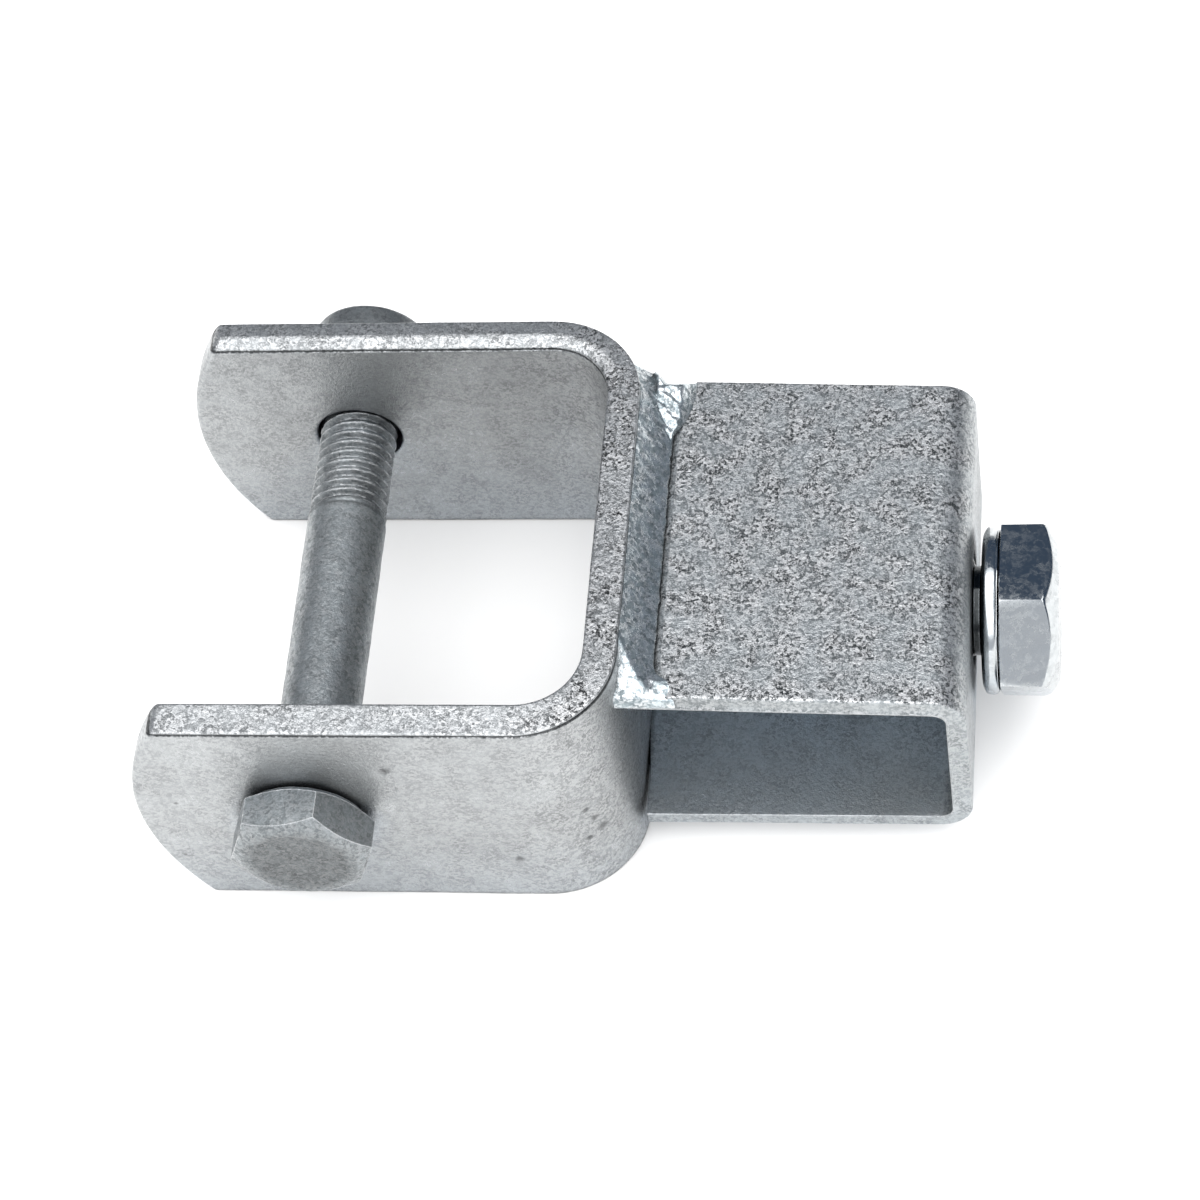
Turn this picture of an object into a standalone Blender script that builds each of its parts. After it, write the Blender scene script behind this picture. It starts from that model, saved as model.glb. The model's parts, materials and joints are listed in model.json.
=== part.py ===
"""Scaffold coupler clamp: a bent fork with a clevis bolt, and a screw-clamp channel welded to its web.

The origin is the middle of the web's lower edge, which the clamp stands on. The arms point along -X,
the clamp channel along +X, the clevis bolt lies along Y, and +Z is up.
"""

import math

import bpy
from mathutils import Matrix, Vector

MM = 0.001

# Fork: one flat strip on edge, bent to a U
STRIP_WIDTH = 45 * MM
STRIP_THICKNESS = 5 * MM
FORK_GAP = 62 * MM
FORK_BEND_RADIUS = 9 * MM
ARM_REACH = 68.8 * MM
TIP_RADIUS = 42 * MM
FORK_EDGE_ROUNDING = 1.3 * MM

# Clevis bolt (M12), low in holes a little wider than its shank, and its locking nut with a round crown
CLEVIS_X = -44 * MM
CLEVIS_Z = 22.3 * MM
CLEVIS_HOLE_X = -43.8 * MM
CLEVIS_HOLE_Z = STRIP_WIDTH / 2
CLEVIS_HOLE_DIAMETER = 13 * MM
CLEVIS_HOLE_BEVEL = 0.4 * MM
CLEVIS_THREAD_DIAMETER = 11.8 * MM
CLEVIS_SHANK_DIAMETER = 12 * MM
CLEVIS_LENGTH = 85 * MM
CLEVIS_THREAD_LENGTH = 30 * MM
CLEVIS_HEAD_HEIGHT = 7.5 * MM
CLEVIS_ACROSS_FLATS = 19 * MM
CLEVIS_NUT_HEIGHT = 14 * MM
CLEVIS_NUT_CROWN_HEIGHT = 3.6 * MM
CLEVIS_HEAD_TURN = math.radians(-10.5)
CLEVIS_NUT_TURN = math.radians(2)

# Clamp channel: sheet bent to a U, open at both Y ends, its legs butted to the web
CHANNEL_SHEET = 3 * MM
CHANNEL_LENGTH = 55.4 * MM
CHANNEL_MIDDLE_Y = 0.9 * MM
CHANNEL_RIGHT_X = 50.5 * MM
CHANNEL_BOTTOM_Z = 5 * MM
CHANNEL_HEIGHT = 33 * MM
CHANNEL_BEND_RADIUS = 2 * MM
TOP_LEG_SPLAY = math.radians(2.2)
CHANNEL_EDGE_BEVEL = 0.4 * MM

# Clamp screw (M16, hexagon head with a washer collar) and the nut welded inside the channel
SCREW_Y = 0.0
SCREW_Z = 21.4 * MM
SCREW_THREAD_DIAMETER = 15.8 * MM
SCREW_LENGTH = 35 * MM
SCREW_HEAD_GAP = 1.3 * MM
SCREW_ACROSS_FLATS = 23.5 * MM
SCREW_COLLAR_DIAMETER = 24.4 * MM
SCREW_COLLAR_HEIGHT = 2.4 * MM
SCREW_COLLAR_ROUNDING = 1 * MM
SCREW_HEAD_HEIGHT = 11 * MM
SCREW_HEAD_TURN = math.radians(3)
CLAMP_NUT_ACROSS_FLATS = 24 * MM
CLAMP_NUT_HEIGHT = 13 * MM

# Welds along the channel's top and bottom legs
UPPER_WELD_REACH = 4.6 * MM
UPPER_WELD_INSET = 1 * MM
UPPER_WELD_LUMP = 0.25
LOWER_WELD_NEAR_INSET = 10 * MM
LOWER_WELD_FAR_INSET = 4 * MM
LOWER_WELD_LUMP = 0.1
WELD_HOLLOW = 1.3
WELD_END_SHARE = 0.6
WELD_STATIONS = 15
WELD_PROFILE_STEPS = 4

# Shared details
GAP = 0.3 * MM
THREAD_RUN_OUT = 0.6 * MM
BOLT_TIP_CHAMFER = 1.2 * MM
NUT_MOUTH_CHAMFER = 0.8 * MM
CROWN_SETBACK = 0.15 * MM
CROWN_ROUNDING = 1.1 * MM
HEX_CHAMFER_ANGLE = math.radians(30)
HEX_FACE_SHARE = 0.95
HEAD_FACE_SHARE = 0.86
WASHER_FACE_HEIGHT = 0.5 * MM
SHARP_ANGLE = math.radians(30)
BEVEL_ANGLE = math.radians(40)
ROUND_SEGMENTS = 48
BEND_SEGMENTS = 12
CUTTER_OVERSIZE = 4 * MM

WEB_OUTER_X = STRIP_THICKNESS / 2
ARM_OUTER_Y = FORK_GAP / 2 + STRIP_THICKNESS
SCREW_BEARING_X = CHANNEL_RIGHT_X + SCREW_HEAD_GAP


def clear_scene():
    for obj in list(bpy.data.objects):
        bpy.data.objects.remove(obj, do_unlink=True)


def steel(name, color, roughness):
    material = bpy.data.materials.new(name)
    material.use_nodes = True
    shader = material.node_tree.nodes["Principled BSDF"]
    shader.inputs["Base Color"].default_value = (*color, 1)
    shader.inputs["Roughness"].default_value = roughness
    shader.inputs["Metallic"].default_value = 0.9
    return material


def add_object(name, points, faces, material=None):
    mesh = bpy.data.meshes.new(name)
    mesh.from_pydata([tuple(point) for point in points], [], faces)
    mesh.shade_smooth()
    mesh.set_sharp_from_angle(angle=SHARP_ANGLE)
    if material:
        mesh.materials.append(material)
    obj = bpy.data.objects.new(name, mesh)
    bpy.context.scene.collection.objects.link(obj)
    return obj


def hide_cutter(obj):
    obj.hide_render = True
    obj.display_type = "WIRE"


def arc(centre, radius, start, end, steps):
    """Points on an arc in a plane, from the start angle to the end angle in degrees."""
    angles = [math.radians(start + (end - start) * i / steps) for i in range(steps + 1)]
    return [(centre[0] + radius * math.cos(a), centre[1] + radius * math.sin(a)) for a in angles]


def extruded(name, outline, place, low, high, material=None):
    """A prism: outline runs anticlockwise about the extrusion axis, and place makes a 3-D point."""
    count = len(outline)
    points = [place(u, v, low) for u, v in outline] + [place(u, v, high) for u, v in outline]
    sides = [(i, (i + 1) % count, count + (i + 1) % count, count + i) for i in range(count)]
    caps = [tuple(reversed(range(count))), tuple(range(count, 2 * count))]
    return add_object(name, points, sides + caps, material)


def boolean(obj, cutter, operation):
    hide_cutter(cutter)
    modifier = obj.modifiers.new(operation.title() + " " + cutter.name, "BOOLEAN")
    modifier.operation = operation
    modifier.object = cutter


def bevel(obj, width, segments=2):
    modifier = obj.modifiers.new("Edge rounding", "BEVEL")
    modifier.width = width
    modifier.segments = segments
    modifier.angle_limit = BEVEL_ANGLE


def round_ring(radius, height):
    """A level circle of a turned shape."""
    return [(radius, height)] * ROUND_SEGMENTS


def hexagon_radius(across_flats, index):
    angle = 2 * math.pi * index / ROUND_SEGMENTS
    from_flat = angle % (math.pi / 3) - math.pi / 6
    return across_flats / 2 / math.cos(from_flat)


def hexagon_ring(across_flats, height, chamfer=0, share=HEX_FACE_SHARE):
    """A hexagon; chamfer +1 or -1 drops it below or lifts it above the level to meet a chamfer cone."""
    ring = []
    for index in range(ROUND_SEGMENTS):
        radius = hexagon_radius(across_flats, index)
        beyond = max(0, radius - chamfer_radius(across_flats, share))
        ring.append((radius, height - chamfer * beyond * math.tan(HEX_CHAMFER_ANGLE)))
    return ring


def chamfer_radius(across_flats, share=HEX_FACE_SHARE):
    """Radius of the round end face that the chamfer leaves on a hexagon."""
    return share * across_flats / 2


def turned(name, rings, material, bored=False):
    """A solid about local +Z from rings listed bottom to top outside, and back down inside when bored."""
    points = []
    for ring in rings:
        for index, (radius, height) in enumerate(ring):
            angle = 2 * math.pi * index / ROUND_SEGMENTS
            points.append((radius * math.cos(angle), radius * math.sin(angle), height))
    faces = []
    for level in range(len(rings) if bored else len(rings) - 1):
        low = level * ROUND_SEGMENTS
        high = (level + 1) % len(rings) * ROUND_SEGMENTS
        for index in range(ROUND_SEGMENTS):
            after = (index + 1) % ROUND_SEGMENTS
            faces.append((low + index, low + after, high + after, high + index))
    if not bored:
        top = (len(rings) - 1) * ROUND_SEGMENTS
        faces.append(tuple(reversed(range(ROUND_SEGMENTS))))
        faces.append(tuple(range(top, top + ROUND_SEGMENTS)))
    return add_object(name, points, faces, material)


def bolt(name, length, thread_radius, shank_radius, thread_length, head_rings, material):
    """A bolt with its bearing face at local Z = 0, its shank along +Z and its head below."""
    thread_start = length - thread_length
    rings = head_rings + [round_ring(shank_radius, 0)]
    if thread_start > 0:
        rings.append(round_ring(shank_radius, thread_start))
        rings.append(round_ring(thread_radius, thread_start + THREAD_RUN_OUT))
    rings.append(round_ring(thread_radius, length - BOLT_TIP_CHAMFER))
    rings.append(round_ring(thread_radius - BOLT_TIP_CHAMFER, length))
    return turned(name, rings, material)


def hex_nut(name, across_flats, height, bore_radius, material, crown_height=0.0):
    """A nut from local Z = 0 to its height, its hexagon chamfered on both sides, with a round crown or none."""
    mouth = NUT_MOUTH_CHAMFER
    face_radius = chamfer_radius(across_flats)
    rings = [
        round_ring(bore_radius + mouth, 0),
        round_ring(face_radius, 0),
        hexagon_ring(across_flats, 0, chamfer=-1),
        hexagon_ring(across_flats, height - crown_height, chamfer=1),
        round_ring(face_radius, height - crown_height),
    ]
    if crown_height:
        crown_radius = face_radius - CROWN_SETBACK
        rings.append(round_ring(crown_radius, height - CROWN_ROUNDING))
        rings.append(round_ring(crown_radius - CROWN_ROUNDING, height))
    rings += [
        round_ring(bore_radius + mouth, height),
        round_ring(bore_radius, height - mouth),
        round_ring(bore_radius, mouth),
    ]
    return turned(name, rings, material, bored=True)


def lay_along(obj, direction, position, turn):
    """Puts the object's origin at position and its local +Z along direction, after a turn about it.

    At turn 0 a hexagon has one flat facing up.
    """
    spin = Matrix.Rotation(turn, 4, "Z")
    aim = Vector(direction).to_track_quat("Z", "Y").to_matrix().to_4x4()
    obj.matrix_world = Matrix.Translation(position) @ aim @ spin


def fork_outline():
    """The strip's U seen from above, anticlockwise: out along the outside and back along the inside."""
    inner = FORK_BEND_RADIUS
    outer = inner + STRIP_THICKNESS
    bend_x = WEB_OUTER_X - outer
    bend_y = ARM_OUTER_Y - outer
    end_x = -ARM_REACH - CUTTER_OVERSIZE
    outline = [(end_x, -ARM_OUTER_Y)]
    outline += arc((bend_x, -bend_y), outer, -90, 0, BEND_SEGMENTS)
    outline += arc((bend_x, bend_y), outer, 0, 90, BEND_SEGMENTS)
    outline += [(end_x, ARM_OUTER_Y), (end_x, FORK_GAP / 2)]
    outline += arc((bend_x, bend_y), inner, 90, 0, BEND_SEGMENTS)
    outline += arc((bend_x, -bend_y), inner, 0, -90, BEND_SEGMENTS)
    outline.append((end_x, -FORK_GAP / 2))
    return outline


def tip_outline():
    """The side view that the fork is trimmed to: rounded at the arm tips, square past the web."""
    centre = (TIP_RADIUS - ARM_REACH, STRIP_WIDTH / 2)
    reach = math.degrees(math.asin((STRIP_WIDTH / 2 + CUTTER_OVERSIZE) / TIP_RADIUS))
    outline = arc(centre, TIP_RADIUS, 180 - reach, 180 + reach, 2 * BEND_SEGMENTS)
    past_web = WEB_OUTER_X + CUTTER_OVERSIZE
    return outline + [(past_web, -CUTTER_OVERSIZE), (past_web, STRIP_WIDTH + CUTTER_OVERSIZE)]


def on_side(u, v, y):
    """Places an outline drawn in X and Z at -y, so that an anticlockwise one extrudes facing out."""
    return (u, -y, v)


def make_fork(material):
    fork = extruded("fork_bracket", fork_outline(), lambda u, v, z: (u, v, z), 0, STRIP_WIDTH, material)
    reach = ARM_OUTER_Y + CUTTER_OVERSIZE
    trim = extruded("tip_trim", tip_outline(), on_side, -reach, reach)
    boolean(fork, trim, "INTERSECT")
    bevel(fork, FORK_EDGE_ROUNDING, segments=3)
    circle = arc((CLEVIS_HOLE_X, CLEVIS_HOLE_Z), CLEVIS_HOLE_DIAMETER / 2, 0, 360, ROUND_SEGMENTS)[:-1]
    hole = extruded("clevis_hole", circle, on_side, -reach, reach)
    boolean(fork, hole, "DIFFERENCE")
    bevel(fork, CLEVIS_HOLE_BEVEL)


def top_leg_z(x, inside=False):
    """Height of the top leg's outer or inner face at x: it rises from the bend towards the web."""
    outer = CHANNEL_BEND_RADIUS + CHANNEL_SHEET
    bend_x = CHANNEL_RIGHT_X - outer
    bend_z = CHANNEL_BOTTOM_Z + CHANNEL_HEIGHT - outer
    radius = CHANNEL_BEND_RADIUS if inside else outer
    return bend_z + radius / math.cos(TOP_LEG_SPLAY) + (bend_x - x) * math.tan(TOP_LEG_SPLAY)


def channel_outline():
    """The channel's U seen from the front, anticlockwise in X and Z."""
    inner = CHANNEL_BEND_RADIUS
    outer = inner + CHANNEL_SHEET
    left = WEB_OUTER_X + GAP
    bend_x = CHANNEL_RIGHT_X - outer
    low_z = CHANNEL_BOTTOM_Z + outer
    high_z = CHANNEL_BOTTOM_Z + CHANNEL_HEIGHT - outer
    splayed = 90 - math.degrees(TOP_LEG_SPLAY)
    outline = [(left, CHANNEL_BOTTOM_Z)]
    outline += arc((bend_x, low_z), outer, -90, 0, BEND_SEGMENTS)
    outline += arc((bend_x, high_z), outer, 0, splayed, BEND_SEGMENTS)
    outline += [(left, top_leg_z(left)), (left, top_leg_z(left, inside=True))]
    outline += arc((bend_x, high_z), inner, splayed, 0, BEND_SEGMENTS)
    outline += arc((bend_x, low_z), inner, 0, -90, BEND_SEGMENTS)
    outline.append((left, CHANNEL_BOTTOM_Z + CHANNEL_SHEET))
    return outline


def make_channel(material):
    front = -CHANNEL_MIDDLE_Y - CHANNEL_LENGTH / 2
    back = -CHANNEL_MIDDLE_Y + CHANNEL_LENGTH / 2
    channel = extruded("clamp_channel", channel_outline(), on_side, front, back, material)
    hole_radius = SCREW_THREAD_DIAMETER / 2 + GAP
    circle = arc((SCREW_Y, SCREW_Z), hole_radius, 0, 360, ROUND_SEGMENTS)[:-1]
    low = CHANNEL_RIGHT_X - CHANNEL_SHEET - CUTTER_OVERSIZE
    high = CHANNEL_RIGHT_X + CUTTER_OVERSIZE
    hole = extruded("screw_hole", circle, lambda u, v, x: (x, u, v), low, high)
    boolean(channel, hole, "DIFFERENCE")
    bevel(channel, CHANNEL_EDGE_BEVEL)


def weld_section():
    """A fillet's section: its corner, then a hollow line from the end of one side to the end of the other."""
    shares = [i / WELD_PROFILE_STEPS for i in range(WELD_PROFILE_STEPS + 1)]
    return [(0, 0)] + [((1 - t) ** WELD_HOLLOW, t ** WELD_HOLLOW) for t in shares]


def weld_bead(name, corner, up, reach, height, low_y, high_y, lump, material):
    """A fillet weld along Y in the corner of the web and a leg: lump is how much wider its ends get."""
    section = weld_section()
    points = []
    for index in range(WELD_STATIONS):
        along = index / (WELD_STATIONS - 1)
        towards_end = abs(2 * along - 1)
        size = 1 + lump * towards_end ** 6
        if towards_end == 1:
            size *= WELD_END_SHARE
        y = low_y + (high_y - low_y) * along
        for u, v in section:
            points.append((corner[0] + u * reach * size, y, corner[1] + up * v * height * min(size, 1)))
    count = len(section)
    faces = []
    for low in range(0, len(points) - count, count):
        for side in range(count):
            after = (side + 1) % count
            faces.append((low + side, low + after, low + count + after, low + count + side))
    faces.append(tuple(reversed(range(count))))
    faces.append(tuple(range(len(points) - count, len(points))))
    if up > 0:
        faces = [tuple(reversed(face)) for face in faces]
    return add_object(name, points, faces, material)


def make_welds(material):
    left = WEB_OUTER_X + GAP
    near_y = CHANNEL_MIDDLE_Y - CHANNEL_LENGTH / 2
    far_y = CHANNEL_MIDDLE_Y + CHANNEL_LENGTH / 2
    upper_corner = (left, top_leg_z(left) + GAP)
    upper_height = STRIP_WIDTH - FORK_EDGE_ROUNDING - upper_corner[1]
    weld_bead(
        "upper_weld_bead", upper_corner, 1, UPPER_WELD_REACH, upper_height,
        near_y + UPPER_WELD_INSET, far_y - UPPER_WELD_INSET, UPPER_WELD_LUMP, material,
    )
    lower_corner = (left, CHANNEL_BOTTOM_Z - GAP)
    lower_height = lower_corner[1] - FORK_EDGE_ROUNDING
    weld_bead(
        "lower_weld_bead", lower_corner, -1, lower_height, lower_height,
        near_y + LOWER_WELD_NEAR_INSET, far_y - LOWER_WELD_FAR_INSET, LOWER_WELD_LUMP, material,
    )


def make_clevis(bolt_material, nut_material):
    flats = CLEVIS_ACROSS_FLATS
    head_rings = [
        round_ring(chamfer_radius(flats, HEAD_FACE_SHARE), -CLEVIS_HEAD_HEIGHT),
        hexagon_ring(flats, -CLEVIS_HEAD_HEIGHT, chamfer=-1, share=HEAD_FACE_SHARE),
        hexagon_ring(flats, -WASHER_FACE_HEIGHT, chamfer=1),
        round_ring(chamfer_radius(flats), -WASHER_FACE_HEIGHT),
        round_ring(chamfer_radius(flats), 0),
    ]
    clevis_bolt = bolt(
        "clevis_bolt", CLEVIS_LENGTH, CLEVIS_THREAD_DIAMETER / 2, CLEVIS_SHANK_DIAMETER / 2,
        CLEVIS_THREAD_LENGTH, head_rings, bolt_material,
    )
    lay_along(clevis_bolt, (0, 1, 0), (CLEVIS_X, -ARM_OUTER_Y - GAP, CLEVIS_Z), CLEVIS_HEAD_TURN)
    bore_radius = CLEVIS_THREAD_DIAMETER / 2 + GAP
    nut = hex_nut(
        "clevis_nut", flats, CLEVIS_NUT_HEIGHT, bore_radius, nut_material, CLEVIS_NUT_CROWN_HEIGHT,
    )
    lay_along(nut, (0, 1, 0), (CLEVIS_X, ARM_OUTER_Y + GAP, CLEVIS_Z), CLEVIS_NUT_TURN)


def make_clamp_screw(screw_material, nut_material):
    flats = SCREW_ACROSS_FLATS
    collar_radius = SCREW_COLLAR_DIAMETER / 2
    rounding = SCREW_COLLAR_ROUNDING
    head_rings = [
        round_ring(chamfer_radius(flats, HEAD_FACE_SHARE), -SCREW_HEAD_HEIGHT),
        hexagon_ring(flats, -SCREW_HEAD_HEIGHT, chamfer=-1, share=HEAD_FACE_SHARE),
        hexagon_ring(flats, -SCREW_COLLAR_HEIGHT),
        round_ring(collar_radius, -SCREW_COLLAR_HEIGHT + rounding / 4),
        round_ring(collar_radius, -rounding),
        round_ring(collar_radius - rounding, 0),
    ]
    thread_radius = SCREW_THREAD_DIAMETER / 2
    screw = bolt(
        "clamp_screw", SCREW_LENGTH, thread_radius, thread_radius, SCREW_LENGTH, head_rings, screw_material,
    )
    lay_along(screw, (-1, 0, 0), (SCREW_BEARING_X, SCREW_Y, SCREW_Z), SCREW_HEAD_TURN)
    inside_x = CHANNEL_RIGHT_X - CHANNEL_SHEET - GAP
    nut = hex_nut("clamp_nut", CLAMP_NUT_ACROSS_FLATS, CLAMP_NUT_HEIGHT, thread_radius + GAP, nut_material)
    lay_along(nut, (-1, 0, 0), (inside_x, SCREW_Y, SCREW_Z), 0)


def main():
    clear_scene()
    galvanised = steel("Galvanised strip", (0.58, 0.60, 0.60), 0.45)
    weld_metal = steel("Weld metal", (0.42, 0.44, 0.48), 0.35)
    plated_bolt = steel("Plated bolt", (0.38, 0.40, 0.44), 0.35)
    bright_zinc = steel("Bright zinc screw", (0.60, 0.62, 0.64), 0.3)
    make_fork(galvanised)
    make_channel(galvanised)
    make_welds(weld_metal)
    make_clevis(plated_bolt, plated_bolt)
    make_clamp_screw(bright_zinc, plated_bolt)


main()
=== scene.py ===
"""Scaffold coupler clamp, hot-dip galvanised: pieces in detail, finishes, light and camera.

Lengths are in metres. The origin is the middle of the web's lower edge: the fork's arms point along -X,
the clamp channel along +X, the clevis bolt lies along Y, and +Z is up.
"""

import collections
import json
import math

import bmesh
import bpy
import numpy as np
from mathutils import Matrix, Vector, noise


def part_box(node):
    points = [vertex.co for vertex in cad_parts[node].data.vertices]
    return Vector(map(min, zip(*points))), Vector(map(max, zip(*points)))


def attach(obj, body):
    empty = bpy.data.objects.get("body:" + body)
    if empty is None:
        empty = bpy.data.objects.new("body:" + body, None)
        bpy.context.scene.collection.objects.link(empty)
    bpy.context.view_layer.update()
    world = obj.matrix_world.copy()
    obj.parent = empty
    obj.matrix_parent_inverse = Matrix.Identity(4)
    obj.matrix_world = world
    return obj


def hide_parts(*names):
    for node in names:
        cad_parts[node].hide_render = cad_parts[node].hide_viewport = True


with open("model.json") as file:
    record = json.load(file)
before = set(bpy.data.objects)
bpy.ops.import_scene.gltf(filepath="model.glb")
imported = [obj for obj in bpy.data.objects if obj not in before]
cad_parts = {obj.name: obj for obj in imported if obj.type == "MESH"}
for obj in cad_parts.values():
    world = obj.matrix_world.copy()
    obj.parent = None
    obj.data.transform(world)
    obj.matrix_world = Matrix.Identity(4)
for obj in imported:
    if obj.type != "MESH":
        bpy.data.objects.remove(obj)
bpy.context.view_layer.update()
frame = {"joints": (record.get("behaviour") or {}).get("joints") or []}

MM = 0.001

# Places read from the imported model
FORK_LOW, FORK_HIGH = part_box("fork_bracket")
CHANNEL_LOW, CHANNEL_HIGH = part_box("clamp_channel")
CLEVIS_LOW, CLEVIS_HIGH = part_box("clevis_bolt")
SCREW_LOW, SCREW_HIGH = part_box("clamp_screw")
NUT_LOW, NUT_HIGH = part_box("clevis_nut")
INNER_NUT_LOW, INNER_NUT_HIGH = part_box("clamp_nut")
JOINTS = {joint["name"]: joint for joint in frame["joints"]}
CLEVIS_AXIS = Vector(JOINTS["clevis_bolt_spin"]["pos_m"])

# Fork strip
STRIP_THICKNESS = 5 * MM
STRIP_WIDTH = FORK_HIGH.z
STRIP_EDGE_RADII = (0.4 * MM, 0.5 * MM)
FORK_BEND_RADIUS = 9 * MM
TIP_RADIUS = 42 * MM
CLEVIS_HOLE = Vector((-43.8 * MM, 0, STRIP_WIDTH / 2))
CLEVIS_HOLE_RADIUS = 6.5 * MM

# Wear of the fork's upper edge: shares are of the strip's length, from the near tip to the far one
EDGE_LEAN = math.radians(6)
EDGE_BEVEL = math.radians(16)
RIDGE = -0.4 * MM
NEAR_WEAR_END, NEAR_WEAR_FADE = 0.30, 0.12
FAR_WEAR_START, FAR_WEAR_FADE = 0.58, 0.10
WEB_BEVEL = 0.15
WEAR_REACH, WEAR_FADE = 4.5 * MM, 3 * MM
CREASE_DROP = 0.62 * MM
CREASE_WIDTH = 0.18 * MM
CREASE_NEAR, CREASE_FAR = 0.30 * MM, 0.26 * MM
CREASE_EXTRA_IN_BEND = 0.12 * MM
# Height of the crease, where the strip's zinc also paints a line of shade
CREASE_Z = STRIP_WIDTH - STRIP_THICKNESS * math.tan(EDGE_LEAN) - CREASE_DROP

# Dents in the near arm's outer face and bend: place, radius, depth
FORK_DENTS = (
    (Vector((-30.7 * MM, FORK_LOW.y, 34.4 * MM)), 0.8 * MM, 0.35 * MM),
    (Vector((-14.6 * MM, FORK_LOW.y, 10.3 * MM)), 0.8 * MM, 0.30 * MM),
    (Vector((-2.1 * MM, FORK_LOW.y + 3.7 * MM, 13.9 * MM)), 1.0 * MM, 0.35 * MM),
    (Vector((-2.9 * MM, FORK_LOW.y + 3.0 * MM, 17.3 * MM)), 0.7 * MM, 0.30 * MM),
    (Vector((-3.9 * MM, FORK_LOW.y + 2.4 * MM, 20.5 * MM)), 0.6 * MM, 0.25 * MM),
    (Vector((-4.2 * MM, FORK_LOW.y + 2.2 * MM, 13.1 * MM)), 0.6 * MM, 0.25 * MM),
)

# Clamp channel sheet
SHEET = 3 * MM
SHEET_EDGE_RADII = (0.45 * MM, 0.2 * MM)
SHEET_BEND_RADIUS = 2 * MM
TOP_LEG_SPLAY = math.radians(2.2)
WELD_PREP = 4.9 * MM
BURR = 0.25 * MM
BURR_REACH = 0.8 * MM
SLIT_NEAR, SLIT_FAR = 0.15 * MM, -0.45 * MM
SLIT_START_Y, SLIT_FADE = -10 * MM, 11 * MM
SLIT_REACH = 3 * MM

# Upper weld: where its nose starts to run down, where its crevice closes at each end, and its hidden floor
NOSE_Y = -18.5 * MM
NOSE_SLOPE = math.tan(math.radians(33))
NEAR_CLOSING_Y, NEAR_CLOSING = -21.5 * MM, 2.5 * MM
FAR_CLOSING_Y, FAR_CLOSING = 18.5 * MM, 3 * MM
CROWN_DROP = 0.7 * MM
PLATE_DROP = 0.75 * MM
FILLET_SAG = 0.35 * MM
RIPPLE_PITCH, RIPPLE_BOW = 1.3 * MM, 1.1 * MM
PUDDLE_RISE = 0.72 * MM
PUDDLE_END_Y = -24.3 * MM
PUDDLE_SLOPE = math.tan(math.radians(14))
LUMP_START_Y = 15 * MM
LUMP_Z, LUMP_Y, LUMP_CLIMB = 40.1 * MM, 19.5 * MM, 0.36
LUMP_TOE_X, LUMP_TOE_SLOPE = 4.6 * MM, 2.0
LUMP_PLATE_SLOPE = 1.6
SLASH_PITCH, SLASH_DEPTH, SLASH_SLANT = 2.4 * MM, 0.17 * MM, 0.85
END_DROP, END_SLOPE = 0.4 * MM, 1.25
END_TOE_X, END_TOE_SLOPE = 5.5 * MM, 2.2
END_ROUNDING = 0.6 * MM
CREVICE = 0.85 * MM
TOE_INTO_WEB = 0.5 * MM
WELD_FLOOR_Z = 36.9 * MM

# Bolts
CLEVIS_ACROSS_FLATS = 19 * MM
CLEVIS_HEAD_HEIGHT = 7.5 * MM
CLEVIS_LENGTH = CLEVIS_HIGH.y - CLEVIS_LOW.y - CLEVIS_HEAD_HEIGHT
CLEVIS_THREAD_LENGTH = 34 * MM
CLEVIS_THREAD = 11.8 * MM
CLEVIS_PITCH = 1.75 * MM
CLEVIS_SHANK = 12 * MM
CLEVIS_HEAD_TURN = math.radians(-10.5)
CLEVIS_NUT_TURN = math.radians(2)
CLEVIS_NUT_CROWN = 3.6 * MM
SCREW_ACROSS_FLATS = 23.5 * MM
SCREW_HEAD_HEIGHT = 11 * MM
SCREW_COLLAR_HEIGHT = 2.4 * MM
SCREW_COLLAR = 24.4 * MM
SCREW_LENGTH = SCREW_HIGH.x - SCREW_LOW.x - SCREW_HEAD_HEIGHT
SCREW_THREAD = 15.8 * MM
SCREW_PITCH = 2 * MM
SCREW_HEAD_TURN = math.radians(3)
SCREW_AXIS = Vector((0, 0, 21.4 * MM))
HEX_CHAMFER = math.tan(math.radians(30))
NUT_FACE_SHARE = 0.95
HEAD_FACE_SHARE = 0.86
WASHER_FACE = 0.5 * MM
THREAD_PLAY = 0.16 * MM

# Thread form: depth as a share of the pitch, and its crest and flank as shares of half a turn
THREAD_DEPTH = 0.6134
CREST, FLANK = 0.17, 0.62
ROOT_ROUNDING = 0.4
RUN_OUT_TURNS = 1.2

ROUND = 120
THREAD_RINGS_PER_TURN = 12
DENT_REACH = 3
RAY_SAMPLES = 4

Station = collections.namedtuple("Station", "point normal shift inset")


# ---------------------------------------------------------------- mesh tools

def mesh_object(name, points, faces, material, sharp=35):
    mesh = bpy.data.meshes.new(name)
    mesh.from_pydata([tuple(point) for point in points], [], faces)
    shaped = bmesh.new()
    shaped.from_mesh(mesh)
    bmesh.ops.recalc_face_normals(shaped, faces=shaped.faces)
    shaped.to_mesh(mesh)
    shaped.free()
    mesh.shade_smooth()
    mesh.set_sharp_from_angle(angle=math.radians(sharp))
    mesh.materials.append(material)
    obj = bpy.data.objects.new(name, mesh)
    bpy.context.scene.collection.objects.link(obj)
    return obj


def loft_faces(levels, count, bored=False):
    """Quads between closed rings of count points each; a bored shape joins its last ring to its first."""
    faces = []
    for level in range(levels if bored else levels - 1):
        low = level * count
        high = (level + 1) % levels * count
        for index in range(count):
            after = (index + 1) % count
            faces.append((low + index, low + after, high + after, high + index))
    return faces


def apply_modifiers(obj):
    """Bakes the object's modifiers into its mesh."""
    graph = bpy.context.evaluated_depsgraph_get()
    mesh = bpy.data.meshes.new_from_object(obj.evaluated_get(graph), depsgraph=graph)
    obj.modifiers.clear()
    obj.data = mesh


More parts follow.
